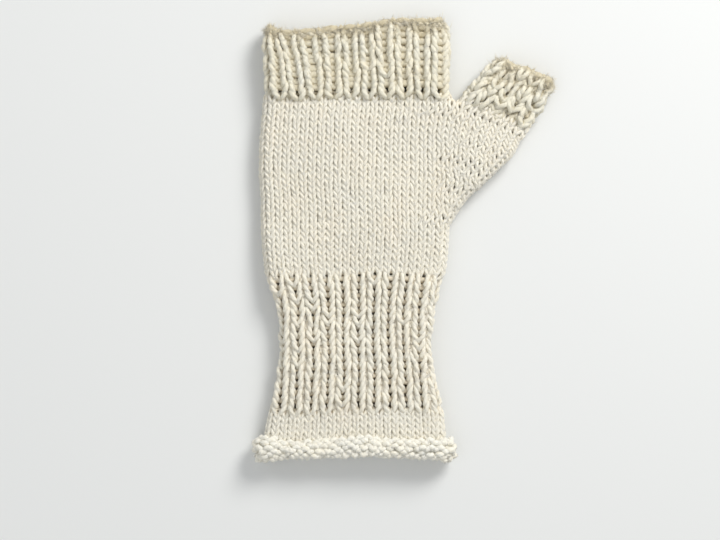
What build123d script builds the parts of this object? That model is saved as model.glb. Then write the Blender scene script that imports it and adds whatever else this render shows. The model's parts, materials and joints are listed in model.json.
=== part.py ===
"""A hand-knitted fingerless mitt, lying flat as it does when it is put down.

+Z is up and the mitt rests on Z = 0. +Y runs from the rolled wrist hem towards the fingers, and the thumb
leaves on the +X side. The origin is on the resting face, under the centre line of the hand, half way along.
Every fabric section is a flattened tube that is open right through, so a hand passes from the hem to the
finger edge and a thumb leaves through the gusset. All sizes are in millimetres.
"""
import os
from math import cos, radians, sin

from build123d import *

os.makedirs("parts", exist_ok=True)

# ---- fabric ------------------------------------------------------------------------------------------
plain_wall = 2.6            # smooth fabric, two strands of yarn deep with a little squeeze
rib_wall = 3.0              # ribbing is deeper than smooth fabric
finger_rib_wall = 3.3
roll_wall = 4.2             # the hem rolls up on itself
press = 0.15                # how far the underside is pressed flat where the mitt rests

# ---- places along the mitt ---------------------------------------------------------------------------
hem_side_y = -104.5         # the hem droops at its sides
hem_middle_y = -100.3
cast_on_y = -93.2
band_y = -91.5
wrist_rib_y = -79.2
waist_y = -52.2             # the narrowest place
crease_run = 10.0           # the ribbing keeps its width over this stretch before the crease
wrist_y = -15.2             # the crease of the wrist, where the mitt folds
gusset_y = 6.0              # where the thumb gusset starts to leave the hand
finger_rib_y = 69.0
finger_edge_y = 101.0       # the ribbing ends about here, along a wavy edge
end_y = 112.0               # anything beyond the finger edge
edge_strip = 2.2            # width of the bound-off chain
# x, and the rise of the edge there
edge_wave = ((-60, 5.0), (-43, 2.6), (-25, -1.0), (5, 1.6), (30, 4.6), (60, 4.0))
past = 60.0                 # cutting shapes reach this far past the mitt
past_end = 5.0              # and this far past a face that they open
cut_height = 30.0           # cutting shapes made from a plan are this high

# ---- widths: the left and right side of the outside, from the centre line ----------------------------
hem_half = 47.4
band_sides = (-42.9, 43.2)
wrist_sides_low = (-41.2, 42.4)
wrist_sides_waist = (-36.6, 38.2)
wrist_sides_high = (-41.0, 41.6)
hand_sides_low = (-42.6, 43.0)
hand_sides_middle = (-44.6, 44.6)
hand_sides_high = (-45.2, 46.4)
rib_sides_low = (-43.8, 46.4)
rib_sides_high = (-43.0, 45.0)

# ---- heights of the flattened tubes, and of their middles --------------------------------------------
hand_height = 12.0
hand_middle = hand_height / 2 - press
rib_height = 12.4
rib_middle = rib_height / 2 - press
finger_rib_height = 12.8
finger_rib_middle = finger_rib_height / 2 - press
hem_height = 14.0
hem_middle = hem_height / 2 - press
band_height = 10.8          # the band beside the hem, which the rolled edge laps over
cast_on_thickness = 1.3
hem_corner = 3.5            # rounding of the hem in plan, and of its rolled edges
hem_roll_rounding = 3.2

# ---- the thumb ---------------------------------------------------------------------------------------
thumb_pivot = (63.2, 57.2)  # the thumb swings in the plane of the mitt about this point
thumb_root = 18.4           # radius of its rounded root, which turns in the gusset
inner_side = 46.9           # directions of the thumb's two sides, from +X towards +Y: it tapers to its edge
outer_side = 59.8
thumb_angle = (inner_side + outer_side) / 2
thumb_in = 24               # swing towards the fingers
thumb_out = 20              # swing away from them
arm_clearance = 2           # degrees between the gusset's arm and the thumb when it is swung away
thumb_height = 12.0
thumb_rib_height = 12.4
thumb_rib_wall = 3.0
thumb_reach = 50            # the sides run this far from the root, past the slanting edge
gusset_x = 36.0             # the gusset takes over from the hand's side here
gusset_side = ((45.4, gusset_y), (52.7, 20.0), (64.5, 30.3), (77.5, 42.5))   # the gusset's outer fold
gusset_slant = 44.8         # and the direction that it takes
thumb_rib_start = ((49.8, 70.0), (82.2, 53.2))
thumb_edge = ((65.2, 86.8), (94.2, 73.6))
rim = 5.6                   # rounding of the folded sides

# ---- the wrist fold ----------------------------------------------------------------------------------
wrist_radius = hand_height / 2
wrist_fold = 70             # degrees
gap = 0.3                   # clearance between parts that move on each other

# ---- yarn tails --------------------------------------------------------------------------------------
tail_thickness = 1.5
tail_turn = 4.0             # radius of a tail's turns
tail_lift = 0.3             # the middle of a tail lies this far above the inner face that it is darned into


def section(y, sides, height, middle, inset=0.0):
    """One cross-section of a flattened tube, a slot across the mitt at y."""
    left, right = sides
    with BuildSketch(Plane(((left + right) / 2, y, middle), x_dir=(1, 0, 0), z_dir=(0, -1, 0))) as slot:
        SlotOverall(right - left - 2 * inset, height - 2 * inset)
    return slot.sketch


def flat_tube(stations, wall):
    """Lofts an open flattened tube through (y, sides, height, middle) stations, into the part at hand."""
    loft(sections=[section(*s) for s in stations])
    loft(sections=[section(*s, inset=wall) for s in stations], mode=Mode.SUBTRACT)


def rest_on_floor():
    """Presses the underside flat at Z = 0."""
    split(bisect_by=Plane.XY, keep=Keep.TOP)


def finger_edge_outline(lower_by):
    """The wavy finger edge, and everything beyond it, as a face."""
    with BuildSketch(Plane.XY.offset(-1)) as beyond:
        with BuildLine():
            wave = Spline(*[(x, finger_edge_y + rise - lower_by) for x, rise in edge_wave])
            Polyline(wave @ 1, (past, end_y + past_end), (-past, end_y + past_end), wave @ 0)
        make_face()
    return beyond.sketch


def across(points, beyond):
    """The vertical plane through two points, looking towards the side where the point beyond lies."""
    (x0, y0), (x1, y1) = points
    normal = Vector(y1 - y0, x0 - x1, 0)
    if normal.dot(Vector(beyond[0] - x0, beyond[1] - y0, 0)) < 0:
        normal = normal * -1
    return Plane((x0, y0, 0), z_dir=normal)


def heading(angle):
    """A unit vector in plan, turned by angle from +X towards +Y."""
    return Vector(cos(radians(angle)), sin(radians(angle)))


def along_thumb(distance, across_by=0.0):
    """A point at a distance along the thumb from its pivot, and across_by to its outer side."""
    return Vector(*thumb_pivot) + heading(thumb_angle) * distance + heading(thumb_angle - 90) * across_by


def wrist_pin(radius):
    """A roller across the mitt at the wrist crease."""
    return Pos(0, wrist_y, hand_middle) * Rot(0, 90, 0) * Cylinder(radius, 2 * past, mode=Mode.PRIVATE)


thumb_tip = (along_thumb(thumb_reach).X, along_thumb(thumb_reach).Y)
finished = {}


def finish(name, part):
    part.label = name
    finished[name] = part
    export_step(part, f"parts/{name}.step")


# ---- wrist end: rolled hem, cast-on edge and plain band ----------------------------------------------
with BuildPart() as rolled_hem:
    with BuildSketch(Plane.XY.offset(-press)):
        with BuildLine():
            droop = ThreePointArc((-hem_half, hem_side_y), (0, hem_middle_y), (hem_half, hem_side_y))
            Polyline(droop @ 1, (hem_half, cast_on_y), (-hem_half, cast_on_y), droop @ 0)
        make_face()
    extrude(amount=hem_height)
    fillet(rolled_hem.edges().filter_by(Axis.Z), hem_corner)
    fillet(rolled_hem.faces().filter_by(Axis.Z).edges(), hem_roll_rounding)
    hem_sides = (-hem_half, hem_half)
    hem_run = (hem_side_y - past_end, cast_on_y + past_end)
    hollow = [section(y, hem_sides, hem_height, hem_middle, inset=roll_wall) for y in hem_run]
    loft(sections=hollow, mode=Mode.SUBTRACT)
    rest_on_floor()
finish("rolled_hem", rolled_hem.part)

ring_sides = (band_sides[0] - cast_on_thickness, band_sides[1] + cast_on_thickness)
with BuildPart() as cast_on_edge:
    ring_height = band_height + 2 * cast_on_thickness
    flat_tube([(y, ring_sides, ring_height, hem_middle) for y in (cast_on_y, band_y)], cast_on_thickness)
    rest_on_floor()
finish("cast_on_edge", cast_on_edge.part)

with BuildPart() as wrist_band:
    flat_tube(
        [
            (cast_on_y, band_sides, band_height, hem_middle),
            (band_y, band_sides, band_height, hem_middle),
        ],
        plain_wall,
    )
    flat_tube(
        [
            (band_y, band_sides, band_height, hem_middle),
            (wrist_rib_y, wrist_sides_low, rib_height, rib_middle),
        ],
        plain_wall,
    )
    rest_on_floor()
finish("wrist_band", wrist_band.part)

# ---- wrist ribbing, rounded where it meets the hand so that it can fold ------------------------------
with BuildPart() as wrist_rib:
    flat_tube(
        [
            (wrist_rib_y, wrist_sides_low, rib_height, rib_middle),
            (waist_y, wrist_sides_waist, rib_height, rib_middle),
            (wrist_y - crease_run, wrist_sides_high, hand_height, hand_middle),
        ],
        rib_wall,
    )
    flat_tube(
        [
            (wrist_y - crease_run, wrist_sides_high, hand_height, hand_middle),
            (wrist_y + wrist_radius + 1, wrist_sides_high, hand_height, hand_middle),
        ],
        rib_wall,
    )
    past_crease = Pos(0, wrist_y + past / 2, hand_middle) * Box(2 * past, past, past, mode=Mode.PRIVATE)
    add(past_crease - wrist_pin(wrist_radius), mode=Mode.SUBTRACT)
    rest_on_floor()
finish("wrist_rib", wrist_rib.part)

# ---- hand --------------------------------------------------------------------------------------------
fold_reach = wrist_radius * sin(radians(wrist_fold)) + 2 * gap
underside_gap = 2.4         # the lower layers stay this far apart, so that they can fold
with BuildPart() as hand_lower:
    flat_tube(
        [
            (wrist_y, hand_sides_low, hand_height, hand_middle),
            (gusset_y, hand_sides_middle, hand_height, hand_middle),
        ],
        plain_wall,
    )
    add(wrist_pin(wrist_radius + gap), mode=Mode.SUBTRACT)
    above_crease = Box(2 * past, fold_reach, past, mode=Mode.PRIVATE)
    add(Pos(0, wrist_y + fold_reach / 2, hand_middle + past / 2) * above_crease, mode=Mode.SUBTRACT)
    below_crease = Box(2 * past, underside_gap, 2 * hand_middle, mode=Mode.PRIVATE)
    add(Pos(0, wrist_y, 0) * below_crease, mode=Mode.SUBTRACT)
    rest_on_floor()
finish("hand_lower", hand_lower.part)

with BuildPart() as hand_upper:
    flat_tube(
        [
            (gusset_y, hand_sides_middle, hand_height, hand_middle),
            (finger_rib_y, hand_sides_high, hand_height, hand_middle),
        ],
        plain_wall,
    )
    split(bisect_by=Plane((gusset_x, 0, 0), z_dir=(-1, 0, 0)), keep=Keep.TOP)
    rest_on_floor()
finish("hand_upper", hand_upper.part)

# ---- finger ribbing with its wavy bound-off edge -----------------------------------------------------
finger_stations = [
    (finger_rib_y, rib_sides_low, finger_rib_height, finger_rib_middle),
    (end_y, rib_sides_high, finger_rib_height, finger_rib_middle),
]
with BuildPart() as finger_rib:
    flat_tube(finger_stations, finger_rib_wall)
    extrude(finger_edge_outline(edge_strip), amount=cut_height, mode=Mode.SUBTRACT)
    rest_on_floor()
finish("finger_rib", finger_rib.part)

with BuildPart() as finger_bind_off:
    flat_tube(finger_stations, finger_rib_wall)
    extrude(finger_edge_outline(edge_strip), amount=cut_height, mode=Mode.INTERSECT)
    extrude(finger_edge_outline(0), amount=cut_height, mode=Mode.SUBTRACT)
    rest_on_floor()
finish("finger_bind_off", finger_bind_off.part)

# ---- thumb gusset: the hand's side from the start of the gusset to the crotch of the thumb -----------
socket = thumb_root + gap
arm_heading = outer_side - 90 - thumb_out - arm_clearance
arm_end = Vector(*thumb_pivot) + heading(arm_heading) * thumb_root
hand_right = hand_sides_high[1]


def gusset_outline(inset):
    """The gusset in plan. Its outer fold moves in by inset, and its open sides run on past the part."""
    inward = heading(gusset_slant + 90) * inset
    open_by = thumb_root if inset else 0
    side = [(x + inward.X, y + inward.Y) for x, y in gusset_side]
    with BuildSketch(Plane.XY.offset(inset - press)) as plan:
        with BuildLine():
            fold = Spline(*side)
            below_fold = [((fold @ 0).X, gusset_y - open_by)] if open_by else []
            Polyline(
                fold @ 1, ((fold @ 1).X, finger_rib_y + open_by), (gusset_x - open_by, finger_rib_y + open_by),
                (gusset_x - open_by, gusset_y - open_by), *below_fold, fold @ 0,
            )
        make_face()
    return plan.sketch


with BuildPart() as thumb_gusset:
    extrude(gusset_outline(0), amount=hand_height)
    # the corner that lies between the hand's side and the thumb, above the crotch
    crotch_corner = Pos(hand_right + past / 2, thumb_pivot[1] + past / 2, hand_middle)
    add(crotch_corner * Box(past, past, past, mode=Mode.PRIVATE), mode=Mode.SUBTRACT)
    folded = (
        thumb_gusset.edges()
        .filter_by(Axis.Z, reverse=True)
        .filter_by(lambda e: e.center().X > gusset_x + rim and gusset_y + 1 < e.center().Y < finger_rib_y - 1)
        .filter_by(lambda e: abs(e.tangent_at(0.5).Y) > 0.5)
    )
    fillet(folded, rim)
    hollow_top = extrude(gusset_outline(plain_wall), amount=hand_height - 2 * plain_wall, mode=Mode.PRIVATE)
    crotch_wall = Pos(-plain_wall, 0, 0) * crotch_corner * Box(past, past, past, mode=Mode.PRIVATE)
    add(hollow_top - crotch_wall, mode=Mode.SUBTRACT)
    add(Pos(*thumb_pivot, hand_middle) * Cylinder(socket, past, mode=Mode.PRIVATE), mode=Mode.SUBTRACT)
    split(bisect_by=across((thumb_pivot, (arm_end.X, arm_end.Y)), (0, 0)), keep=Keep.TOP)
    rest_on_floor()
finish("thumb_gusset", thumb_gusset.part)


# ---- thumb: a tapered tube whose root turns in the gusset --------------------------------------------
def thumb_tube_shape(height, wall):
    """The whole thumb, from its round root to past its edge, into the part at hand."""
    pivot = Vector(*thumb_pivot)
    inner_root = pivot + heading(inner_side + 90) * thumb_root
    outer_root = pivot + heading(outer_side - 90) * thumb_root
    inner_end = inner_root + heading(inner_side) * thumb_reach
    outer_end = outer_root + heading(outer_side) * thumb_reach
    with BuildSketch(Plane.XY.offset(-press)) as plan:
        with Locations(pivot):
            Circle(thumb_root)
        with BuildLine():
            Polyline(inner_root, inner_end, outer_end, outer_root, close=True)
        make_face()
    solid = extrude(plan.sketch, amount=height)
    sides = solid.edges().filter_by(GeomType.LINE).filter_by(lambda e: abs(e.length - thumb_reach) < 0.01)
    fillet(sides, rim)
    inner_wall = heading(inner_side - 90) * wall
    outer_wall = heading(outer_side + 90) * wall
    through_root = heading(thumb_angle) * -2 * thumb_root
    with BuildSketch(Plane.XY.offset(wall - press)) as inside:
        with BuildLine():
            Polyline(
                inner_root + inner_wall + through_root, inner_root + inner_wall,
                inner_end + inner_wall + heading(inner_side) * wall,
                outer_end + outer_wall + heading(outer_side) * wall,
                outer_root + outer_wall, outer_root + outer_wall + through_root, close=True,
            )
        make_face()
    extrude(inside.sketch, amount=height - 2 * wall, mode=Mode.SUBTRACT)


with BuildPart() as thumb_tube:
    thumb_tube_shape(thumb_height, plain_wall)
    split(bisect_by=across(thumb_rib_start, thumb_pivot), keep=Keep.TOP)
    rest_on_floor()
finish("thumb_tube", thumb_tube.part)

edge_direction = Vector(thumb_edge[1][0] - thumb_edge[0][0], thumb_edge[1][1] - thumb_edge[0][1])
back = Vector(edge_direction.Y, -edge_direction.X).normalized() * edge_strip
strip_line = tuple((p[0] + back.X, p[1] + back.Y) for p in thumb_edge)
with BuildPart() as thumb_rib:
    thumb_tube_shape(thumb_rib_height, thumb_rib_wall)
    split(bisect_by=across(thumb_rib_start, thumb_tip), keep=Keep.TOP)
    split(bisect_by=across(strip_line, thumb_pivot), keep=Keep.TOP)
    rest_on_floor()
finish("thumb_rib", thumb_rib.part)

with BuildPart() as thumb_bind_off:
    thumb_tube_shape(thumb_rib_height, thumb_rib_wall)
    split(bisect_by=across(strip_line, thumb_tip), keep=Keep.TOP)
    split(bisect_by=across(thumb_edge, thumb_pivot), keep=Keep.TOP)
    rest_on_floor()
finish("thumb_bind_off", thumb_bind_off.part)


# ---- yarn tails, darned into the inside of the palm --------------------------------------------------
def tail(name, points, height):
    """A woven-in yarn end: a thin run of yarn through the inner loops of the lower layer."""
    turns = [Vector(x, y, height) for x, y in points]
    with BuildPart() as strand:
        with BuildLine() as path:
            FilletPolyline(*turns, radius=tail_turn)
        with BuildSketch(Plane(origin=path.line @ 0, z_dir=path.line % 0)):
            Circle(tail_thickness / 2)
        sweep()
    finish(name, strand.part)


tail("cast_on_tail", [(-30, -74), (-30, -66), (-24, -59), (-15, -59)], rib_wall - press + tail_lift)
tail("thumb_join_tail", [(40, 52), (33, 46), (33, 36), (27, 30)], plain_wall - press + tail_lift)
tail("finger_bind_off_tail", [(-34, 96), (-34, 86), (-28, 81), (-28, 72)], finger_rib_wall - press + tail_lift)
thumb_tail = [along_thumb(s, n) for s, n in ((24, 5), (17, 5), (12, 1), (4, 1))]
tail("thumb_bind_off_tail", [(p.X, p.Y) for p in thumb_tail], thumb_rib_wall - press + tail_lift)

for name, part in finished.items():
    print(name, "volume", round(part.volume, 1), "valid", part.is_valid)
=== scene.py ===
"""A hand-knitted fingerless mitt in cream wool, in which every stitch is a loop of real yarn.

The fabric is a flattened tube that runs from the rolled hem to the finger edge, with a gusset and a short
thumb. Each course of stitches is one strand of yarn, which a formula lays round the tube, and which is swept
into a plied tube. Shapes are worked out in millimetres and become metres when they are put into a mesh.
"""
import json
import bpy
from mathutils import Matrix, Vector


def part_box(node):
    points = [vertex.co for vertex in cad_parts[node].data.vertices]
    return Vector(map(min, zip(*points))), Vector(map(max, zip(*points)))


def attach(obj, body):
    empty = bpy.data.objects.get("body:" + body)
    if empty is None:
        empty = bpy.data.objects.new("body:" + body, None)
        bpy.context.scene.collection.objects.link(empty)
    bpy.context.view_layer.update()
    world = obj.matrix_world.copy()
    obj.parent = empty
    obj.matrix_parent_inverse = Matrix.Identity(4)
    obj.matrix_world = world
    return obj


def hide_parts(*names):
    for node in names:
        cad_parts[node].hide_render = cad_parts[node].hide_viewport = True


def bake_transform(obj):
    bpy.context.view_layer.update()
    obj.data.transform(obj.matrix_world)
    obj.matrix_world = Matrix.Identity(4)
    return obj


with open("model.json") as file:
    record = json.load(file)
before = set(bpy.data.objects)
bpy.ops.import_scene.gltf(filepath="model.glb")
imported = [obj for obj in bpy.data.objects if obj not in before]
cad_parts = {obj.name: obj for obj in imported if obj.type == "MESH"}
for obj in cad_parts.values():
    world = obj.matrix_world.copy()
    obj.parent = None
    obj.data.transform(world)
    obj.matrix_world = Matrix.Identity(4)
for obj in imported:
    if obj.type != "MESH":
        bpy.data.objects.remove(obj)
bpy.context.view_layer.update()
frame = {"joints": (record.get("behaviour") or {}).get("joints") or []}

from copy import copy
from dataclasses import dataclass
from math import pi, radians

import bpy
import numpy as np
from mathutils import Vector

mm = 0.001
rng = np.random.default_rng(7)


# ---- driving sizes, in millimetres -----------------------
def span(node):
    """Lowest and highest corner of a CAD node."""
    low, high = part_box(node)
    return np.array(low) / mm, np.array(high) / mm


joints = {joint["name"]: np.array(joint["pos_m"]) / mm for joint in frame["joints"]}
wrist = joints["wrist_fold"]
thumb_pivot = joints["thumb_swing"]
wrist_rib_y = span("wrist_band")[1][1]
wrist_y = wrist[1]
gusset_y = span("hand_upper")[0][1]
finger_rib_y = span("finger_rib")[0][1]

yarn = 0.84                 # radius of the wool in smooth fabric
rib_yarn = 1.0              # it is less stretched in the ribs
finger_yarn = 1.18
thumb_yarn = 1.16
tail_yarn = 0.72
edge_yarn = 0.9             # in the finger edge's chain

around_hand = 46            # stitches round the band and the hand
around_wrist = 44           # in ribbing
around_fingers = 42
around_thumb = 20
hand_rows = 28
wrist_rows = 17
band_rows = 6
roll_rows = 6
finger_rows = 10
thumb_plain_rows = 2
thumb_rib_rows = 7

steps = 16                  # points along the yarn in each stitch
sides = 10                  # sides of the yarn's cross-section
plies = 3
ply_depth = 0.14            # how far the grooves between the plies go in, as a share of the radius
bloom = 0.55                # the wool in a rib's hidden heads and feet is this much thicker
ply_turn = 7.5              # the plies turn once in this length

# the mitt's two sides as it lies, from hem to fingers: place, left, right
outline = np.array([
    (-94.0, -43.2, 43.6), (-86.0, -42.4, 43.0), (wrist_rib_y, -41.4, 42.0), (-68.0, -38.8, 39.2),
    (-50.0, -35.8, 36.8), (-32.0, -36.6, 38.2), (-22.0, -40.0, 41.4), (wrist_y, -43.0, 43.2),
    (gusset_y, -44.8, 44.4), (30.0, -45.2, 45.2), (52.0, -44.8, 46.0), (finger_rib_y, -43.4, 46.2),
])
finger_sides = (-43.2, 45.0)                    # the sides of the finger ribbing, which is straight
hand_half, rib_half, finger_half = 5.9, 6.7, 7.2    # half the height of each part of the flat tube
thumb_rib_half = 6.6

gusset_x = 43.6                                 # the hand's side where the gusset starts
crotch = np.array([46.3, 66.0])                 # the thumb leaves the hand here
crotch_tilt = radians(28)                       # and the gusset's last course has turned this far down
thumb_width = 37.8                              # at its base
thumb_base = (crotch, crotch + thumb_width * np.array([np.cos(crotch_tilt), -np.sin(crotch_tilt)]))
thumb_mouth = (np.array([65.4, 86.4]), np.array([94.4, 73.2]))
gusset_widths = (0.0, 8.0, 20.5, 32.0, 37.5)    # at even steps from the gusset's start to the crotch


# ---- the fabric's shape ----------------------------------
def follow(at, places, values, reach=5.0):
    """A value that runs smoothly through pairs of place and value: straight runs between the pairs,
    averaged over a short stretch on both sides."""
    return sum(np.interp(at + shift, places, values) for shift in np.linspace(-reach, reach, 7)) / 7


def around(share, left, right, half):
    """A point on the middle of the fabric of a flattened tube, and its outward direction, in the tube's own
    x and z. The cross-section is a slot. share runs from 0 at the left fold, over the top to 0.5 at the
    right fold, and back underneath to 1. The direction turns by half a circle at each fold and stays up or
    down between them."""
    flat = right - left - 2 * half
    quarter = pi * half / 2
    run = (share % 1.0) * (2 * flat + 4 * quarter)
    turn = (np.clip(run, 0, quarter) + np.clip(run - quarter - flat, 0, 2 * quarter)
            + np.clip(run - 3 * quarter - 2 * flat, 0, quarter)) / half
    over = np.clip(run - quarter, 0, flat) - np.clip(run - 3 * quarter - flat, 0, flat)
    out_x, out_z = -np.cos(turn), np.sin(turn)
    return left + half + over + half * out_x, half * out_z, out_x, out_z


def settle(points, radius):
    """The slight unevenness of fabric laid down by hand: long low waves, which fade towards the resting
    face. Yarn of this radius stays above the floor."""
    x, y, z = points.T
    lift = np.clip(z / 6.0, 0, 1.6)
    swell = 0.28 * np.sin(x / 11.0 + y / 17.0) + 0.22 * np.sin(x / 23.0 - y / 9.0 + 2.0)
    return np.stack([
        x + 0.35 * np.sin(y / 12.0 + 1.0) + 0.2 * np.sin(y / 5.3 + x / 19.0),
        y + 0.45 * np.sin(x / 12.5 + 0.6) + 0.25 * np.sin(x / 6.1 + y / 21.0),
        np.maximum(z + lift * swell, radius * (1 + ply_depth)),
    ], axis=1)


def gusset_reach(y):
    """How far the gusset reaches out from the hand's side, measured along its course."""
    rise = np.linspace(gusset_y, crotch[1], len(gusset_widths))
    return np.interp(y, rise, gusset_widths)


def fan(points, out):
    """Courses of the gusset turn downwards as they leave the hand: beyond the hand's side each point turns
    about the side by an angle that grows from the gusset's start to the crotch. The turn sets in softly:
    the distance d past the side counts as soft log(1 + e^(d / soft))."""
    x, y, z = points.T
    soft = 1.5
    side = np.interp(y, (gusset_y, crotch[1]), (gusset_x, crotch[0]))
    beyond = soft * np.logaddexp(0, (x - side) / soft)
    angle = crotch_tilt * np.clip((y - gusset_y) / (crotch[1] - gusset_y), 0, 1)
    turned = np.stack([x - beyond * (1 - np.cos(angle)), y - beyond * np.sin(angle), z], axis=1)
    leaning = np.stack([out[:, 0] * np.cos(angle), out[:, 1] - out[:, 0] * np.sin(angle), out[:, 2]], axis=1)
    return turned, leaning


def thumb_place(across, along):
    """A point in plan on the thumb: across runs from its inner to its outer fold, along from its base to
    its mouth. Straight lines join the base and the mouth."""
    base = thumb_base[0] + np.outer(across, thumb_base[1] - thumb_base[0])
    mouth = thumb_mouth[0] + np.outer(across, thumb_mouth[1] - thumb_mouth[0])
    return base + along[:, None] * (mouth - base)


# ---- stitches --------------------------------------------
class Course:
    """One course of stitches round a tube. number counts stitches along the yarn, turn runs from -pi at a
    stitch's first foot over 0 at its head to pi at its second foot."""

    def __init__(self, count):
        """A course of count stitches, with steps points in each."""
        self.count = count
        self.number = np.arange(count * steps) / steps
        self.stitch = self.number.astype(int)
        self.turn = 2 * pi * (self.number - self.stitch) - pi
        self.legs = np.sin(self.turn) ** 2

    def vary(self, middle, spread):
        """A value for each stitch, the same all along it."""
        return (middle + spread * rng.standard_normal(self.count).clip(-2, 2))[self.stitch]

    def wander(self, spread):
        """A value that drifts from stitch to stitch, and joins up round the tube."""
        each = rng.standard_normal(self.count).clip(-2, 2) * spread
        return np.interp(self.number, np.arange(self.count + 1), np.append(each, each[0]))


def stitches(course, height, lean, spread, rise, dip, bow=0.0, pinch=0.0, tuck=0.0):
    """The loops of one course as offsets in millimetres from their places: across = lean sin 2t + spread
    sin t + bow sin 4t + pinch sin 2t f, up = height cos t, out = rise sin^2 t - dip h - tuck f^3. Here h =
    (1/2 + cos(t)/2)^2 is 1 at the head and f = (1/2 - cos(t)/2)^2 is 1 at the feet. Lean opens each loop
    upwards like a V, bow rounds it into a U, pinch draws its feet together and tuck hides them in the
    fabric below. A height a little over one row hides each head behind the legs of the course after the
    next, so that small holes stay open between the legs."""
    turn = course.turn
    head, feet = ((1 + np.cos(turn)) / 2) ** 2, ((1 - np.cos(turn)) / 2) ** 2
    across = (lean + pinch * feet) * np.sin(2 * turn) + spread * np.sin(turn) + bow * np.sin(4 * turn)
    return across, height * np.cos(turn), rise * course.legs - dip * head - tuck * feet ** 3


plain_height = 1.07         # of smooth stitches, in rows
plain_lean, plain_spread = 0.98, -0.14
plain_bow = 0.75            # their legs stand this far out, heads and feet this far in


def plain_course(count, row):
    """Offsets of one course of smooth stitches. Each varies a little, and all of it drifts by a tenth of a
    millimetre."""
    course = Course(count)
    across, up, out = stitches(
        course, row * plain_height + course.wander(0.14), course.vary(plain_lean, 0.12),
        course.vary(plain_spread, 0.08), course.vary(2 * plain_bow, 0.14), 0.0,
    )
    return course, across + course.wander(0.1), up + course.wander(0.1), out - plain_bow


@dataclass
class Rib:
    """How one section is ribbed. The knit stitches' lean, spread and dip are those of stitches()."""
    tall: float                 # height of the loops, in rows
    rise: float                 # legs of the knit stitches stand this far out
    sink: float                 # and those of the purl stitches this far in
    lean: float
    spread: float
    dip: float
    looseness: float            # how much the stitches differ
    shown: float                # share of the knit stitches that keep their feet on the outside
    knit_share: float           # a knit stitch takes this share of a pair's width
    first_pinch: float = 0.0    # draws the feet of the section's first course together


wrist_pattern = Rib(tall=0.98, rise=1.55, sink=0.85, lean=1.3, spread=0.66, dip=1.6, looseness=1.5,
                    shown=0.14, knit_share=0.8, first_pinch=0.7)
finger_pattern = Rib(tall=1.03, rise=1.8, sink=1.0, lean=1.25, spread=1.0, dip=1.0, looseness=1.8,
                     shown=0.05, knit_share=0.79, first_pinch=1.7)
thumb_pattern = Rib(tall=1.04, rise=1.8, sink=0.9, lean=1.3, spread=0.8, dip=1.2, looseness=3.4,
                    shown=0.33, knit_share=0.74)
rib_bow = 0.26              # rounds the knit stitches
purl_lean, purl_dip = 0.3, 0.8
hidden_tuck, first_tuck = 0.8, 2.5      # how deep a course's feet are hidden, and the first course's
shown_pinch, shown_tuck, shown_rise = 1.75, 1.9, 0.3    # feet that show are close together and stand out


def rib_course(count, row, rib, first=False):
    """Offsets of one course of ribbing: knit and purl stitches in turn. The knit stitches stand out, the
    purl stitches lie deep between them. A share of the knit stitches keep their feet together on the
    outside, as round bottoms, but not in a section's first course. A loose knit stitch is bigger: its chance
    size adds 0.08 of itself to the lean and 0.17 to the spread. The wool is thicker where it isn't pulled
    tight, at heads and feet: slack says that its radius grows by bloom cos^4 t."""
    course = Course(count)
    knit = np.arange(count) % 2 == 0
    big = rib.looseness * rng.standard_normal(count).clip(-1.2, 2.6)
    leans = np.where(knit, rib.lean + 0.08 * big, purl_lean)
    spreads = np.where(knit, rib.spread + 0.17 * big, 0.0)
    uneven = rib.looseness * 0.2 * rng.standard_normal(count).clip(-2, 2)
    rises = np.where(knit, rib.rise + uneven, -rib.sink)
    dips = np.where(knit, rib.dip, purl_dip)
    bows = np.where(knit, rib_bow, 0.0)
    bare = knit & (rng.random(count) < (0.0 if first else rib.shown))
    pinches = np.where(bare, shown_pinch, np.where(knit, rib.first_pinch if first else 0.0, 0.0))
    tucks = np.where(bare, shown_tuck, first_tuck if first else hidden_tuck)
    rises = rises + shown_rise * bare
    height = row * rib.tall + course.wander(0.16 * rib.looseness)
    pick = course.stitch
    across, up, out = stitches(
        course, height, leans[pick], spreads[pick], rises[pick], dips[pick], bows[pick], pinches[pick],
        tucks[pick],
    )
    across, up = across + course.wander(0.14 * rib.looseness), up + course.wander(0.16 * rib.looseness)
    slack = 1 + bloom * np.cos(course.turn) ** 4
    return course, across, up, out, slack


def rib_places(course, knit_share):
    """Where along the tube a rib's yarn is, in stitches: a knit stitch takes knit_share of the pair's
    width."""
    pair = course.number // 2
    within = course.number - 2 * pair
    knit = np.minimum(within, 1) * 2 * knit_share
    purl = np.maximum(within - 1, 0) * 2 * (1 - knit_share)
    return 2 * pair + knit + purl


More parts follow.
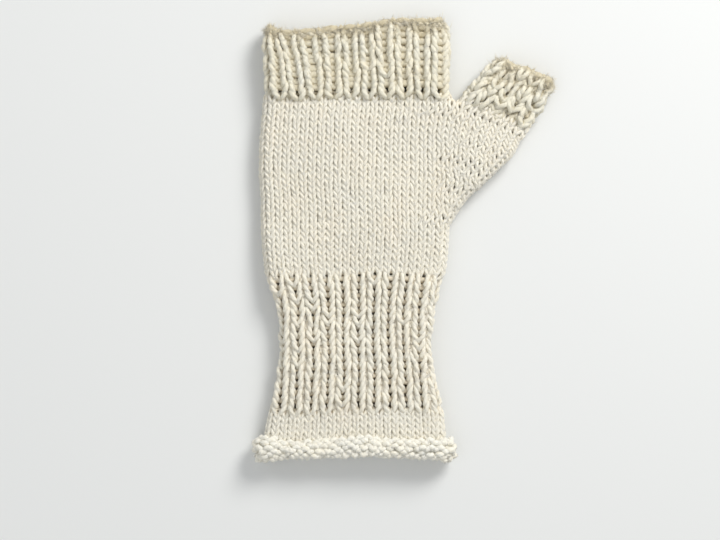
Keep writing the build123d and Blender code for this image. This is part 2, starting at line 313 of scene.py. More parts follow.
# ---- yarn ------------------------------------------------
class Strand:
    """A run of yarn: its points, the fabric's outward direction at each, and whether it closes on
    itself."""

    def __init__(self, points, out, radius, closed=True, depth=0.0):
        self.direction = out
        self.depth = np.broadcast_to(depth, (len(points),))
        if closed:
            ahead = np.roll(points, -1, axis=0) - np.roll(points, 1, axis=0)
            step = np.linalg.norm(points - np.roll(points, 1, axis=0), axis=1)
        else:
            ahead = np.gradient(points, axis=0)
            step = np.linalg.norm(np.diff(points, axis=0, prepend=points[:1]), axis=1)
        ahead /= np.linalg.norm(ahead, axis=1, keepdims=True)
        side = np.cross(ahead, out)
        side /= np.linalg.norm(side, axis=1, keepdims=True)
        self.points, self.side, self.up = points, side, np.cross(side, ahead)
        self.length = np.cumsum(step)
        self.radius = np.broadcast_to(radius, (len(points),))
        self.closed = closed

    def part(self, start, stop):
        """The open run from point start to point stop, on past the end of the ring if stop is past it."""
        count = len(self.points)
        pick = np.arange(start, stop + 1) % count
        run = copy(self)
        run.points, run.side, run.up = self.points[pick], self.side[pick], self.up[pick]
        step = np.linalg.norm(np.diff(run.points, axis=0, prepend=run.points[:1]), axis=1)
        run.length = self.length[start % count] + np.cumsum(step)
        run.radius, run.closed = self.radius[pick], False
        run.depth, run.direction = self.depth[pick], self.direction[pick]
        return run

    def skin(self):
        """Points round the yarn. Its radius rises and falls with the plies, which turn as they run along
        it."""
        angle = 2 * pi * np.arange(sides) / sides
        twist = 2 * pi * self.length[:, None] / ply_turn
        reach = self.radius[:, None] * (1 + ply_depth * np.cos(plies * (angle[None] - twist)))
        sideways, upwards = np.cos(angle)[None, :, None], np.sin(angle)[None, :, None]
        spread = sideways * self.side[:, None] + upwards * self.up[:, None]
        return self.points[:, None] + reach[..., None] * spread

    def level(self):
        """How far each point of the skin stands out from the middle of the fabric, in millimetres."""
        angle = 2 * pi * np.arange(sides) / sides
        lean = (np.cos(angle)[None] * (self.side * self.direction).sum(1)[:, None]
                + np.sin(angle)[None] * (self.up * self.direction).sum(1)[:, None])
        return self.depth[:, None] + self.radius[:, None] * lean


def yarn_mesh(name, strands, material):
    """One mesh from several strands: quads between neighbouring rings of each skin, and a cap on each open
    end. The UV map counts turns of the plies along the yarn in u, and plies round it in v."""
    places, corners, starts, sizes, marks = [], [], [], [], []
    first, corner = 0, 0
    seam = 0.05             # the plies turn by this much where a ring closes
    for strand in strands:
        rings = len(strand.points)
        ring = np.arange(rings if strand.closed else rings - 1)[:, None]
        following = (ring + 1) % rings
        k = np.arange(sides)[None]
        beside = (k + 1) % sides
        quads = first + np.stack([
            ring * sides + k, following * sides + k, following * sides + beside, ring * sides + beside,
        ], axis=-1).reshape(-1)
        along = plies * strand.length / ply_turn
        along = np.append(along, along[-1] + plies * seam)
        here, ahead = along[ring + 0 * k], along[ring + 1 + 0 * k]
        low_side, high_side = k + 0 * ring, k + 1 + 0 * ring
        u = np.stack([here, ahead, ahead, here], -1)
        v = plies / sides * np.stack([low_side, low_side, high_side, high_side], -1)
        places.append(strand.skin().reshape(-1, 3))
        corners.append(quads)
        marks.append(np.stack([u.reshape(-1), v.reshape(-1)], axis=1))
        count = len(quads) // 4
        starts.append(corner + 4 * np.arange(count))
        sizes.append(np.full(count, 4))
        corner += len(quads)
        if not strand.closed:
            near, far = first + np.arange(sides), first + (rings - 1) * sides + np.arange(sides)[::-1]
            corners.append(np.concatenate([near, far]))
            marks.append(np.repeat([[along[0], 0.0], [along[rings - 1], 0.0]], sides, axis=0))
            starts.append(np.array([corner, corner + sides]))
            sizes.append(np.array([sides, sides]))
            corner += 2 * sides
        first += rings * sides
    levels = np.concatenate([strand.level().ravel() for strand in strands])
    return put_in_mesh(name, np.concatenate(places), np.concatenate(corners), np.concatenate(starts),
                       np.concatenate(sizes), material, levels, np.concatenate(marks))


def put_in_mesh(name, places, corners, starts, sizes, material, levels, marks=None):
    """A smooth-shaded mesh object from arrays: points in millimetres, corner indices, and where each face
    starts."""
    mesh = bpy.data.meshes.new(name)
    mesh.vertices.add(len(places))
    mesh.vertices.foreach_set("co", (places * mm).astype(np.float32).ravel())
    mesh.loops.add(len(corners))
    mesh.loops.foreach_set("vertex_index", corners.astype(np.int32))
    mesh.polygons.add(len(starts))
    mesh.polygons.foreach_set("loop_start", starts.astype(np.int32))
    mesh.polygons.foreach_set("loop_total", sizes.astype(np.int32))
    mesh.polygons.foreach_set("use_smooth", np.ones(len(starts), bool))
    if marks is not None:
        layer = mesh.uv_layers.new(name="yarn")
        layer.data.foreach_set("uv", marks.astype(np.float32).ravel())
    depth = mesh.attributes.new("level", "FLOAT", "POINT")
    depth.data.foreach_set("value", levels.astype(np.float32))
    mesh.update(calc_edges=True)
    mesh.validate()
    mesh.materials.append(material)
    piece = bpy.data.objects.new(name, mesh)
    bpy.context.scene.collection.objects.link(piece)
    return piece


def halo_mesh(name, strands, count, reach, width, material):
    """Loose fibres that stand off the yarn: each is a bent spike with three sides, closed at its root. They
    start at chance points of the yarn's skin and lean away from its middle, each in its own way. Their length
    is reach u^1.5, where u is a chance number from 0.35 to 1."""
    skin = np.concatenate([strand.skin().reshape(-1, 3) for strand in strands])
    middles = np.concatenate([np.repeat(strand.points, sides, axis=0) for strand in strands])
    pick = rng.integers(0, len(skin), count)
    root, away = skin[pick], skin[pick] - middles[pick]
    away /= np.linalg.norm(away, axis=1, keepdims=True)
    away += 0.75 * rng.standard_normal((count, 3))
    away /= np.linalg.norm(away, axis=1, keepdims=True)
    bend = 0.55 * rng.standard_normal((count, 3))
    length = reach * rng.uniform(0.35, 1.0, (count, 1)) ** 1.5
    any_direction = (0.31, 0.52, 0.79)
    side = np.cross(away, any_direction)
    side /= np.linalg.norm(side, axis=1, keepdims=True)
    other = np.cross(away, side)
    angle = 2 * pi * np.arange(3)[None, :, None] / 3
    ring = width * (np.cos(angle) * side[:, None] + np.sin(angle) * other[:, None])
    half_way = root + length * (0.5 * away + 0.12 * bend)
    tip = root + length * (0.9 * away + 0.5 * bend)
    places = np.concatenate([root[:, None] + ring, half_way[:, None] + 0.7 * ring, tip[:, None]], axis=1)
    above_floor = 0.02
    places[..., 2] = np.maximum(places[..., 2], above_floor)
    quads = np.array([(0, 1, 4, 3), (1, 2, 5, 4), (2, 0, 3, 5)]).ravel()
    points = np.array([(3, 4, 6), (4, 5, 6), (5, 3, 6), (0, 2, 1)]).ravel()
    base = 7 * np.arange(count)[:, None]
    corners = (base + np.concatenate([quads, points])[None]).ravel()
    sizes = np.tile([4, 4, 4, 3, 3, 3, 3], count)
    starts = np.concatenate([[0], np.cumsum(sizes)[:-1]])
    return put_in_mesh(name, places.reshape(-1, 3), corners, starts, sizes, material, np.ones(7 * count))


# ---- materials -------------------------------------------
def shader_node(material, kind, inputs=(), **settings):
    """A shader node with its settings, and constants on its inputs."""
    node = material.node_tree.nodes.new(kind)
    for name, value in settings.items():
        setattr(node, name, value)
    for socket, value in dict(inputs).items():
        node.inputs[socket].default_value = value
    return node


def ramp_node(material, first, *between, last):
    """A colour ramp through pairs of place and colour."""
    node = shader_node(material, "ShaderNodeValToRGB")
    elements = node.color_ramp.elements
    for element, (place, colour) in zip(elements, (first, last)):
        element.position, element.color = place, (*colour, 1)
    for place, colour in between:
        elements.new(place).color = (*colour, 1)
    return node


def wool(name, colour, warm, shade, painted_shade_colour, deepest, run=2.0):
    """Cream wool: soft sheen, patches that are a little warmer or greyer, fine streaks along the plies and
    grooves between them. The patches are in the piece's own coordinates, the streaks follow the yarn's UV
    map. Yarn that lies deep in the fabric, between the level deepest and run millimetres above it, turns to
    painted_shade_colour: painted shade in the hollows between the loops, where less light reaches."""
    material = bpy.data.materials.new(name)
    material.use_nodes = True
    surface = material.node_tree.nodes["Principled BSDF"]
    surface.inputs["Roughness"].default_value = 0.85
    surface.inputs["Specular IOR Level"].default_value = 0.25
    surface.inputs["Sheen Weight"].default_value = 0.35
    surface.inputs["Sheen Roughness"].default_value = 0.5
    surface.inputs["Subsurface Weight"].default_value = 0.3
    surface.inputs["Subsurface Radius"].default_value = (1.0, 1.0, 0.95)
    surface.inputs["Subsurface Scale"].default_value = 0.8 * mm
    links = material.node_tree.links

    place = shader_node(material, "ShaderNodeTexCoord")
    patches = shader_node(material, "ShaderNodeTexNoise", {"Scale": 70.0, "Detail": 4.0})
    patch_colours = ramp_node(material, (0.3, warm), (0.5, colour), last=(0.7, shade))
    links.new(place.outputs["Object"], patches.inputs["Vector"])
    links.new(patches.outputs["Fac"], patch_colours.inputs["Fac"])

    along = shader_node(material, "ShaderNodeMapping", {"Rotation": (0, 0, radians(-45))})
    stretched = shader_node(material, "ShaderNodeMapping", {"Scale": (9.0, 0.9, 1.0)})
    streaks = shader_node(material, "ShaderNodeTexNoise", {"Scale": 1.0, "Detail": 3.0})
    links.new(place.outputs["UV"], along.inputs["Vector"])
    links.new(along.outputs["Vector"], stretched.inputs["Vector"])
    links.new(stretched.outputs["Vector"], streaks.inputs["Vector"])

    turned = shader_node(material, "ShaderNodeMapping", {"Scale": (-1.0, 1.0, 1.0)})
    one_band_a_ply = 0.628
    groove = shader_node(material, "ShaderNodeTexWave",
                         {"Scale": one_band_a_ply, "Distortion": 0.6, "Detail": 1.0},
                         wave_type="BANDS", bands_direction="DIAGONAL")
    groove_share = 0.6
    height = shader_node(material, "ShaderNodeMath", {1: groove_share}, operation="MULTIPLY_ADD")
    bump = shader_node(material, "ShaderNodeBump", {"Strength": 0.9, "Distance": 0.22 * mm})
    links.new(place.outputs["UV"], turned.inputs["Vector"])
    links.new(turned.outputs["Vector"], groove.inputs["Vector"])
    links.new(groove.outputs["Fac"], height.inputs[0])
    links.new(streaks.outputs["Fac"], height.inputs[2])
    links.new(height.outputs["Value"], bump.inputs["Height"])
    links.new(bump.outputs["Normal"], surface.inputs["Normal"])

    streak_colours = ramp_node(material, (0.35, (0.78, 0.73, 0.62)), last=(0.6, (1, 1, 1)))
    tone = shader_node(material, "ShaderNodeMix", {"Factor": 0.5}, data_type="RGBA", blend_type="MULTIPLY")
    links.new(streaks.outputs["Fac"], streak_colours.inputs["Fac"])
    links.new(patch_colours.outputs["Color"], tone.inputs["A"])
    links.new(streak_colours.outputs["Color"], tone.inputs["B"])

    # painted shade: the colour darkens with the yarn's depth in the fabric
    level = shader_node(material, "ShaderNodeAttribute", attribute_name="level")
    deep = shader_node(material, "ShaderNodeMapRange",
                       {"From Min": deepest, "From Max": deepest + run, "To Min": 1.0, "To Max": 0.0})
    shaded = shader_node(material, "ShaderNodeMix", {"B": (*painted_shade_colour, 1)}, data_type="RGBA")
    links.new(level.outputs["Fac"], deep.inputs["Value"])
    links.new(deep.outputs["Result"], shaded.inputs["Factor"])
    links.new(tone.outputs["Result"], shaded.inputs["A"])
    links.new(shaded.outputs["Result"], surface.inputs["Base Color"])
    return material


cream, warm_cream, grey_cream = (0.893, 0.857, 0.752), (0.905, 0.855, 0.74), (0.877, 0.85, 0.757)
# painted shade: colours that yarn deep in the fabric turns to, for the shade in the hollows between loops
shade_tan, shade_brown, shade_olive = (0.84, 0.74, 0.56), (0.60, 0.50, 0.35), (0.60, 0.53, 0.37)
smooth_wool = wool("smooth fabric wool", cream, warm_cream, grey_cream, shade_tan, -2.2)
tail_wool = wool("tail wool", cream, warm_cream, grey_cream, shade_tan, -2.2)
# painted light: a paler copy of the cream wool, so that the rolled hem looks lit all over
hem_wool = wool("hem wool", (0.95, 0.925, 0.83), (0.95, 0.91, 0.80), (0.93, 0.92, 0.85), shade_tan, -2.2)
rib_wool = wool("ribbing wool", (0.912, 0.875, 0.765), warm_cream, grey_cream, shade_brown, -0.6, 2.2)
# painted shade: a browner copy of the ribbing wool, for the shade on the finger and thumb ribbing
shaded_rib_wool = wool("shaded ribbing wool", (0.845, 0.81, 0.68), (0.84, 0.79, 0.65), (0.82, 0.80, 0.70), shade_olive,
                     -0.8, 2.2)
# painted shade: a darker, browner copy of the cream wool, for the shade at the mitt's edges
edge_wool = wool("edge wool", (0.79, 0.73, 0.57), (0.72, 0.65, 0.48), (0.82, 0.77, 0.64), shade_olive, -2.4)


# ---- courses of each section -----------------------------
def in_space(x, y, z, out_x, out_y, out_z, out):
    """Stacks plan places and directions, and moves each point out along its direction."""
    direction = np.stack([out_x, out_y, out_z], axis=1)
    return np.stack([x, y, z], axis=1) + out[:, None] * direction, direction


def tube_strand(share, y, out, thickness, total_half, sides_at, radius, shape=None, shaded=0.0):
    """A course on the mitt's own tube. thickness is how far the fabric reaches out from its middle, so that
    its outside keeps the outline, and its underside rests on the floor. shaded counts as extra depth for
    its colour."""
    left, right = sides_at(y)
    half = total_half - thickness
    x, z, out_x, out_z = around(share, left + thickness, right - thickness, half)
    points, direction = in_space(x, y, z + total_half, out_x, 0 * x, out_z, out)
    if shape is not None:
        points, direction = shape(points, direction)
    return Strand(settle(points, radius), direction, radius, depth=out - shaded)


def mitt_sides(y):
    """Left and right outline of the mitt at y."""
    return follow(y, outline[:, 0], outline[:, 1]), follow(y, outline[:, 0], outline[:, 2])


def shadow_beside_rib(y, rib_y, depth):
    """Extra depth for the colour of smooth fabric at y beside a rib: painted shadow of the raised rib. It is
    depth e^-(d / 3.5)^2 at the distance d from the rib."""
    return depth * np.exp(-((y - rib_y) / 3.5) ** 2)


plain_reach = plain_bow + yarn                  # the fabric reaches out this far from its middle
rib_reach = wrist_pattern.rise + rib_yarn
finger_reach = finger_pattern.rise + finger_yarn
thumb_rib_reach = 1.6 + rib_yarn                # the thumb's ribbing is pressed a little flatter

side_stitches = 4           # the hand's last stitches on each face, which share the gusset's reach
gusset_pitch = 4.1          # each face of the gusset gets a stitch more for each such width


def spread_stitches(number, count, reach, pitch):
    """Places along half a course, from the left fold: hand stitches keep their pitch, and the last ones
    share the gusset's reach evenly."""
    kept = around_hand / 2 - side_stitches
    gusset = count / 2 - around_hand / 2
    loose = (side_stitches * pitch + reach) / (side_stitches + gusset)
    return np.where(number <= kept, number * pitch, kept * pitch + (number - kept) * loose)


def hand_course(row_number, row):
    """One course of the hand, with the gusset's stitches between the hand's last stitches and its fold.
    Stitches are added one by one on each face as the gusset grows, each far from the last by the golden
    ratio. Each loop's head lies at its own course's places, and its feet at the places of the course
    below."""
    y0 = wrist_y + row * (row_number + 0.5)
    reach = gusset_reach(y0) if y0 < crotch[1] else 0.0
    below = gusset_reach(y0 - row) if y0 < crotch[1] else 0.0
    extra, extra_below = round(reach / gusset_pitch), round(below / gusset_pitch)
    count = around_hand + 2 * extra
    course, across, up, out = plain_course(count, row)
    y = y0 + up
    left, right = mitt_sides(y)
    half = hand_half - plain_reach
    length = 2 * (right - left - 2 * plain_reach - 2 * half) + 2 * pi * half
    pitch = length / around_hand
    mirrored = course.number > count / 2
    number = np.where(mirrored, count - course.number, course.number)
    added = extra - extra_below
    golden_share = (0.5 + 0.618 * extra) % 1.0
    new = around_hand / 2 - side_stitches + (side_stitches + extra) * golden_share
    number_below = np.where(number > new, number - added, number)
    here = spread_stitches(number, count, reach, pitch)
    under = spread_stitches(number_below, count - 2 * added, below, pitch)
    head = (1 + np.cos(course.turn)) / 2
    run = here * head + under * (1 - head)
    reach_here = below + (reach - below) * head
    total = length + 2 * reach_here
    share = np.where(mirrored, 1 - run / total, run / total) + across / total

    def widened(_):
        """The hand's sides at this course, with the gusset's reach."""
        return left, right + reach_here

    # painted shadow: the smooth fabric's colour darkens just below the raised finger ribbing
    painted_shade = shadow_beside_rib(y, finger_rib_y, 1.5)
    strand = tube_strand(share, y, out, plain_reach, hand_half, widened, yarn, fan, painted_shade)
    return strand, count


hand_row = (finger_rib_y - wrist_y) / hand_rows
gusset_first = 21           # the gusset's pieces start at this stitch from the left fold, on both faces
lower_rows, upper_rows, gusset_rows = [], [], []
for j in range(hand_rows):
    ring, count = hand_course(j, hand_row)
    if count == around_hand and j < hand_rows / 2:
        lower_rows.append(ring)
    elif count == around_hand:
        upper_rows.append(ring)
    else:
        upper_rows.append(ring.part((count - gusset_first) * steps, (count + gusset_first) * steps))
        gusset_rows.append(ring.part(gusset_first * steps, (count - gusset_first) * steps))


def towards_top(share, widen):
    """Moves stitches round the tube from its underside to its top, where they then lie wider apart. The
    change of spacing falls on the folds."""
    off = (share + 0.25) % 1.0 - 0.5
    near, far = np.minimum(np.abs(off), 0.25), np.maximum(np.abs(off) - 0.25, 0)
    return 0.25 + np.sign(off) * (near * widen + far * (2 - widen))


wrist_row = (wrist_y - wrist_rib_y) / wrist_rows
wrist_first_column = 0.53   # the first column of the wrist ribbing starts so many stitches from the fold
waist_y, waist_reach, waist_widening = -49, 18, 0.07    # stitches are wider apart at the waist
wrist_rings = []
for j in range(wrist_rows):
    course, across, up, out, slack = rib_course(around_wrist, wrist_row, wrist_pattern, j == 0)
    y = wrist_rib_y + wrist_row * (j + 0.5) + up
    left, right = mitt_sides(y)
    place = (rib_places(course, wrist_pattern.knit_share) + wrist_first_column) / around_wrist
    share = place + across / (2 * (right - left))
    share = towards_top(share, 1 + waist_widening * np.exp(-((y - waist_y) / waist_reach) ** 2))
    radius = rib_yarn * slack
    wrist_rings.append(tube_strand(share, y, out, rib_reach, rib_half, mitt_sides, radius, shaded=-0.7))


# ---- band and rolled hem ---------------------------------
roll_y = -96.0              # the fabric starts to roll here
roll_step = 2.55            # fabric for each radian of roll
roll_wide, roll_tall = 2.9, 1.5     # half axes of the roll in the mitt's middle
band_row = (wrist_rib_y - roll_y) / band_rows
roll_row = 2.35             # rows of the roll are not stretched like those of the band
hem_length = 180.0          # round the band
hem_far = 43.0              # from the middle to a side
hem_half, hem_middle = 3.0, 7.5     # half the distance of the layers at the hem, and their middle's height
roll_yarn = 1.0             # radius of its wool
roll_bloom = 0.42           # which is this much thicker at heads and feet
roll_bump, roll_sink = 1.5, 0.9     # these stand out of the roll, and its legs lie in it
roll_flat = 0.6             # the legs' own rise is flatter here
roll_uneven = 0.45


def hem_place(course, across, run, out):
    """A place on the band and its rolled edge. run is the distance along the fabric from where the roll
    starts: positive on the band, negative round the roll. The roll is an ellipse that stands on the band.
    Its half axes grow by 1.6 f^6 and 0.7 f^8 towards the mitt's sides, and the hem droops there by f^2,
    where f is 1 at a side. The knit side faces the middle of the roll, so the fabric's direction turns with
    it. The band's layers draw together towards the hem, and rise off the floor as the roll under them lifts
    them."""
    left, right = mitt_sides(roll_y + run.clip(0))
    angle = np.clip(-run, 0, None) / roll_step
    rise = np.clip(run / (wrist_rib_y - roll_y), 0, 1)
    half = hem_half + (hand_half - plain_reach - hem_half) * rise
    middle = hem_middle + (hand_half - hem_middle) * rise
    share = course.number / course.count + across / hem_length
    x, z, out_x, out_z = around(share, left + plain_reach, right - plain_reach, half)
    far = np.abs(x) / hem_far
    wide = roll_wide + 1.6 * far ** 6
    tall = roll_tall + 0.7 * far ** 8
    curl = tall * (1 - np.cos(angle))
    x, z, out_x, out_z = around(share, left + plain_reach - curl, right - plain_reach + curl, half + curl)
    y = roll_y - far ** 2 * (1 - rise) - wide * np.sin(angle) + run.clip(0)
    direction = np.stack([out_x * np.cos(angle), np.sin(angle), out_z * np.cos(angle)], axis=1)
    return np.stack([x, y, middle + z], axis=1) + out[:, None] * direction, direction


band_rings, roll_rings = [], []
for j in range(-roll_rows, band_rows):
    course, across, up, out = plain_course(around_hand, band_row)
    if j >= 0:
        points, direction = hem_place(course, across, band_row * (j + 0.5) + up, out)
        # painted shadow: the band's colour darkens just below the raised wrist ribbing
        depth = out - shadow_beside_rib(points[:, 1], wrist_rib_y, 1.6)
        band_rings.append(Strand(settle(points, yarn), direction, yarn, depth=depth))
    else:
        run = roll_row * (j + 0.5) + up + course.wander(roll_uneven)
        bumps = -roll_bump * np.cos(course.turn) ** 4 + roll_sink + course.wander(roll_uneven)
        points, direction = hem_place(course, across, run, out * roll_flat + bumps)
        thick = roll_yarn + roll_bloom * np.cos(course.turn) ** 4
        roll_rings.append(Strand(settle(points, thick), direction, thick, depth=2.0))


# ---- finger ribbing --------------------------------------
def finger_edge(x):
    """Height of the wavy finger edge at x."""
    return follow(x, (-60, -43, -25, 5, 30, 60), (105.0, 102.6, 99.4, 101.6, 104.8, 104.6), reach=7.0)


def finger_lean(x, rise):
    """Columns on the little finger's side lean outwards as they rise, most of all a little way in from the
    edge."""
    return -rise * (0.19 * np.exp(-((x + 26) / 13.0) ** 2) + 0.04 * np.exp(-((x - 12) / 12.0) ** 2))


def sunk_end(out, past):
    """Columns sink into the fabric where they end: past counts rows beyond a column's end, and the wool
    goes in by 2.4 clip(past / 1.6, 0, 1)^2, down to 2 mm below the fabric's middle."""
    return np.maximum(out - 2.4 * np.clip(past / 1.6, 0, 1) ** 2, np.minimum(out, -2.0))


finger_end_y = 101.5        # the loops are as tall as if the ribbing ended here all along
finger_row = (finger_end_y - finger_rib_y) / finger_rows
finger_length = 175.0       # round the finger ribbing
finger_first_column = 1.06  # the first column starts so many stitches from the fold
below_edge = 2.0            # the last course is this far below the edge
finger_rings = []
least_drop = 1.2            # every column ends at least this many rows early
column_drop = rng.uniform(0.0, 2.2, around_fingers // 2)    # and each one by this many more
for j in range(finger_rows):
    course, across, up, out, slack = rib_course(around_fingers, finger_row, finger_pattern, j == 0)
    out = sunk_end(out, j + least_drop - finger_rows + up / finger_row + column_drop[course.stitch // 2])
    rows_up = (j + 0.5) + up / finger_row
    place = (rib_places(course, finger_pattern.knit_share) + finger_first_column) / around_fingers
    share = place + across / finger_length
    left, right = finger_sides
    x, z, out_x, out_z = around(share, left + finger_reach, right - finger_reach, finger_half - finger_reach)
    y = finger_rib_y + (finger_edge(x) - below_edge - finger_rib_y) * rows_up / finger_rows
    lean = finger_lean(x, y - finger_rib_y)
    points, direction = in_space(x + lean, y, z + finger_half, out_x, 0 * x, out_z, out)
    radius = finger_yarn * slack
    # painted shade: the finger ribbing's colour is set as if it lay 0.35 mm deeper
    finger_rings.append(Strand(settle(points, radius), direction, radius, depth=out - 0.35))


# ---- thumb -----------------------------------------------
inner_way = thumb_mouth[0] - thumb_base[0]
outer_way = thumb_mouth[1] - thumb_base[1]


def unit(v):
    """The same direction with length 1."""
    return v / np.linalg.norm(v)


thumb_way = unit(unit(inner_way) + unit(outer_way))
thumb_out_way = np.array([thumb_way[1], -thumb_way[0]])
thumb_length = (np.linalg.norm(inner_way) + np.linalg.norm(outer_way)) / 2


def thumb_strand(share, along, out, thickness, total_half, radius, shaded=0.0):
    """A course on the thumb. along runs from 0 at its base to 1 at its mouth. shaded counts as extra
    depth."""
    width = np.interp(along, (0, 1), (np.linalg.norm(thumb_base[1] - thumb_base[0]),
                                     np.linalg.norm(thumb_mouth[1] - thumb_mouth[0])))
    half = total_half - thickness
    x, z, out_x, out_z = around(share, 0 * width + thickness, width - thickness, half)
    plan = thumb_place(x / width, along)
    direction = np.stack([out_x * thumb_out_way[0], out_x * thumb_out_way[1], out_z], axis=1)
    points = np.concatenate([plan, (z + total_half)[:, None]], axis=1) + out[:, None] * direction
    return Strand(settle(points, radius), direction, radius, depth=out - shaded)


thumb_plain, thumb_ribs = [], []
plain_share = 0.2           # of the thumb's length is smooth
rib_end = 0.97              # the ribbing's rows are this much closer together, to leave room for the edge
plain_length, rib_length = 84.0, 78.0       # round the thumb
for j in range(thumb_plain_rows):
    row = plain_share * thumb_length / thumb_plain_rows
    course, across, up, out = plain_course(around_thumb, row)
    along = (row * (j + 0.5) + up) / thumb_length
    share = course.number / around_thumb + across / plain_length
    thumb_plain.append(thumb_strand(share, along, out, plain_reach, hand_half, yarn))
for j in range(thumb_rib_rows):
    row = (1 - plain_share) * thumb_length / thumb_rib_rows
    course, across, up, out, slack = rib_course(around_thumb, row, thumb_pattern)
    along = plain_share + (row * (j + 0.5) + up) / thumb_length * rib_end
    share = rib_places(course, thumb_pattern.knit_share) / around_thumb + across / rib_length
    out = out + course.wander(0.45)
    # painted shade: the thumb ribbing's colour darkens more towards the thumb's mouth
    radius, painted_shade = thumb_yarn * slack, 1.1 * along
    thumb_ribs.append(thumb_strand(share, along, out, thumb_rib_reach, thumb_rib_half, radius, painted_shade))


# ---- edges -----------------------------------------------
finger_chain, thumb_chain, hem_chain = 42, 18, 45       # stitches of each chain
finger_height = 32.0        # from the start of the finger ribbing to its edge
finger_edge_inset = 2.2     # the finger edge's chain lies so far inside the ribbing's folds,
finger_edge_flat = 2.4      # so far inside its faces,
finger_edge_sink = 2.3      # and its wool this much deeper again
thumb_edge_along = 0.965    # place of the thumb's chain, from 0 at the thumb's base to 1 at its mouth
thumb_edge_reach, thumb_edge_half = 2.2, 6.1
cast_on_past = 0.15         # rows by which the cast-on edge lies past the roll's last row


def edge_turns(count, strand_number, width):
    """Offsets of one strand of a chained edge: along the fabric and out of it. The two strands turn about each
    other, one turn for each stitch and a half."""
    number = np.arange(count * steps) / steps
    angle = 2 * pi * number / 1.5 + pi * strand_number
    return number, width * np.cos(angle), width * np.sin(angle)


finger_edges, thumb_edges, cast_on = [], [], []
for strand_number in range(2):
    number, up, out = edge_turns(finger_chain, strand_number, 0.75)
    left, right = finger_sides[0] + finger_edge_inset, finger_sides[1] - finger_edge_inset
    x, z, out_x, out_z = around(number / finger_chain, left, right, finger_half - finger_edge_flat)
    y, leaning_x = finger_edge(x) - below_edge + up, x + finger_lean(x, finger_height)
    points, direction = in_space(leaning_x, y, z + finger_half, out_x, 0 * x, out_z, out - finger_edge_sink)
    # painted shade: the finger edge's colour is set as if it lay 1.2 mm deeper
    finger_edges.append(Strand(settle(points, edge_yarn), direction, edge_yarn, depth=out - 1.2))

    number, up, out = edge_turns(thumb_chain, strand_number, 0.7)
    along = thumb_edge_along + up / thumb_length
    share = number / thumb_chain
    thumb_edges.append(thumb_strand(share, along, out, thumb_edge_reach, thumb_edge_half, rib_yarn))

    number, up, out = edge_turns(hem_chain, strand_number, 0.6)
    run = -roll_row * (roll_rows + cast_on_past) + up
    points, direction = hem_place(Course(hem_chain), 0 * number, run, out)
    cast_on.append(Strand(settle(points, yarn), direction, yarn))


# ---- tails -----------------------------------------------
def tail_strand(corners, height):
    """A yarn end darned in: a smooth line through its corners, rising and falling through the fabric's
    loops, with three points for each millimetre."""
    corners = np.array(corners, float)
    run = np.concatenate([[0], np.cumsum(np.linalg.norm(np.diff(corners, axis=0), axis=1))])
    at = np.linspace(0, run[-1], int(run[-1] * 3))
    x, y = (follow(at, run, corners[:, k], reach=3.0) for k in range(2))
    stitch_pair = 4.2
    z = height + 0.35 * np.sin(2 * pi * at / stitch_pair)
    points = np.stack([x, y, z], axis=1)
    return Strand(points, np.tile((0.0, 0.0, 1.0), (len(at), 1)), tail_yarn, closed=False)


# ---- pieces ----------------------------------------------
def finish_piece(nodes):
    """Hides the CAD nodes that a piece replaces."""
    if nodes:
        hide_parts(*nodes)


def with_wrist(piece):
    """Bakes the piece's placement into its mesh."""
    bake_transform(piece)


def with_thumb(piece):
    """Bakes the piece's placement into its mesh."""
    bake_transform(piece)


def on(body):
    """For a piece that moves with one body."""
    return lambda piece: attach(piece, body)


def make(name, strands, material, nodes, moves, fibres, reach=2.0, beside=(), thick=0.08):
    """One piece of knitting and its halo of fibres, which also grows from the strands beside it. reach is
    the length of the longest fibres, and thick their radius."""
    piece = yarn_mesh(name, strands, material)
    finish_piece(nodes)
    moves(piece)
    if fibres:
        halo = halo_mesh(name + "_halo", [*strands, *beside], fibres, reach, thick, material)
        finish_piece([])
        moves(halo)


low_wrist_rows = 8          # so many rows of the wrist ribbing move with the cuff alone
make("rolled_hem_courses", roll_rings, hem_wool, ["rolled_hem"], on("cuff"), 9000)
make("cast_on_chain", cast_on, edge_wool, ["cast_on_edge"], on("cuff"), 700)
make("band_courses", band_rings, smooth_wool, ["wrist_band"], on("cuff"), 3000)
make("wrist_ribbing_low", wrist_rings[:low_wrist_rows], rib_wool, ["wrist_rib"], on("cuff"), 4000)
make("wrist_ribbing_high", wrist_rings[low_wrist_rows:], rib_wool, ["wrist_rib"], with_wrist,
     4000)
make("hand_courses_low", lower_rows, smooth_wool, ["hand_lower"], with_wrist, 3000)
middle = len(upper_rows) // 2
make("hand_courses_middle", upper_rows[:middle], smooth_wool, ["hand_upper"], on("hand"), 5500)
make("hand_courses_high", upper_rows[middle:], smooth_wool, ["hand_upper"], on("hand"), 5500)
make("gusset_courses", gusset_rows, smooth_wool, ["thumb_gusset"], with_thumb, 4500)
make("finger_ribbing", finger_rings, shaded_rib_wool, ["finger_rib"], on("hand"), 5000, reach=2.4)
make("finger_bind_off_chain", finger_edges, edge_wool, ["finger_bind_off"], on("hand"), 17000,
     reach=3.4, beside=finger_rings[-1:], thick=0.12)
make("thumb_courses", thumb_plain, smooth_wool, ["thumb_tube"], with_thumb, 800)
make("thumb_ribbing", thumb_ribs, shaded_rib_wool, ["thumb_rib"], with_thumb, 4000, reach=2.4)
make("thumb_bind_off_chain", thumb_edges, edge_wool, ["thumb_bind_off"], on("thumb"), 7000,
     reach=3.2, beside=thumb_ribs[-1:], thick=0.12)

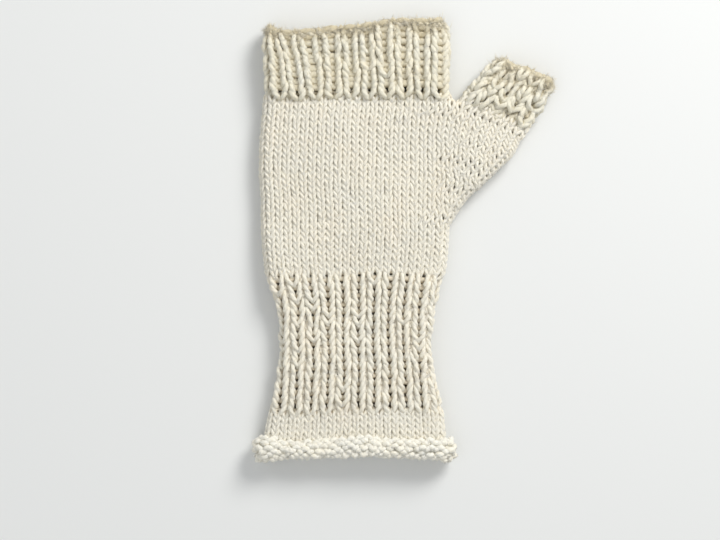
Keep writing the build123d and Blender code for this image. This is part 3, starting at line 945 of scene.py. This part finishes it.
tails = (
    ("cast_on_tail", "cuff", [(-30, -74), (-30, -66), (-24, -59), (-15, -59)], 3.4),
    ("thumb_join_tail", "hand", [(40, 52), (33, 46), (33, 36), (27, 30)], 3.1),
    ("finger_bind_off_tail", "hand", [(-34, 96), (-34, 86), (-28, 81), (-28, 72)], 4.0),
)
for node, body, corners, height in tails:
    make(node + "_yarn", [tail_strand(corners, height)], tail_wool, [node], on(body), 0)
tail_ways = ((24, 5), (17, 5), (12, 1), (4, 1))     # along the thumb from its pivot, and to its outer side
thumb_tail = [thumb_pivot[:2] + s * thumb_way + n * thumb_out_way for s, n in tail_ways]
make("thumb_bind_off_tail_yarn", [tail_strand(thumb_tail, 3.7)], tail_wool,
     ["thumb_bind_off_tail"], with_thumb, 0)


# ---- stage, light and camera -----------------------------
def floor():
    """A wide, matt, pale floor: one flat square under the mitt."""
    material = bpy.data.materials.new("pale floor")
    material.use_nodes = True
    surface = material.node_tree.nodes["Principled BSDF"]
    surface.inputs["Base Color"].default_value = (0.80, 0.81, 0.80, 1)
    surface.inputs["Roughness"].default_value = 0.6
    mesh = bpy.data.meshes.new("floor")
    wide = 4.0              # metres from its middle to a side
    corners = [(-wide, -wide, 0), (wide, -wide, 0), (wide, wide, 0), (-wide, wide, 0)]
    mesh.from_pydata(corners, [], [(0, 1, 2, 3)])
    mesh.materials.append(material)
    piece = bpy.data.objects.new("floor", mesh)
    piece.location = (0, 0, -0.3 * mm)
    bpy.context.scene.collection.objects.link(piece)


def lamp(name, place, aim, size, power, colour):
    """A square soft light at place, turned to aim."""
    light = bpy.data.lights.new(name, "AREA")
    light.size, light.energy, light.color = size, power, colour
    lamp_object = bpy.data.objects.new(name, light)
    lamp_object.location = place
    lamp_object.rotation_euler = (Vector(aim) - Vector(place)).to_track_quat("-Z", "Y").to_euler()
    bpy.context.scene.collection.objects.link(lamp_object)


floor()
lamp("window", (0.6, 0.75, 0.8), (0, 0, 0), 0.5, 12.0, (1.0, 0.99, 0.97))
lamp("fill", (-0.5, -0.4, 1.0), (0, 0, 0), 1.2, 2.4, (0.97, 0.985, 1.0))
world = bpy.data.worlds.new("studio")
world.use_nodes = True
world.node_tree.nodes["Background"].inputs["Color"].default_value = (0.98, 0.99, 1.0, 1)
world.node_tree.nodes["Background"].inputs["Strength"].default_value = 0.48
bpy.context.scene.world = world

view_height = 1.1           # metres above the floor
view_width = 0.3413         # metres of floor across the picture
camera = bpy.data.cameras.new("camera")
camera.sensor_width = 36.0
camera.lens = camera.sensor_width * view_height / view_width
camera_object = bpy.data.objects.new("camera", camera)
camera_object.location = (2.4 * mm, -12.8 * mm, view_height)
bpy.context.scene.collection.objects.link(camera_object)
bpy.context.scene.camera = camera_object
bpy.context.scene.view_settings.view_transform = "Standard"
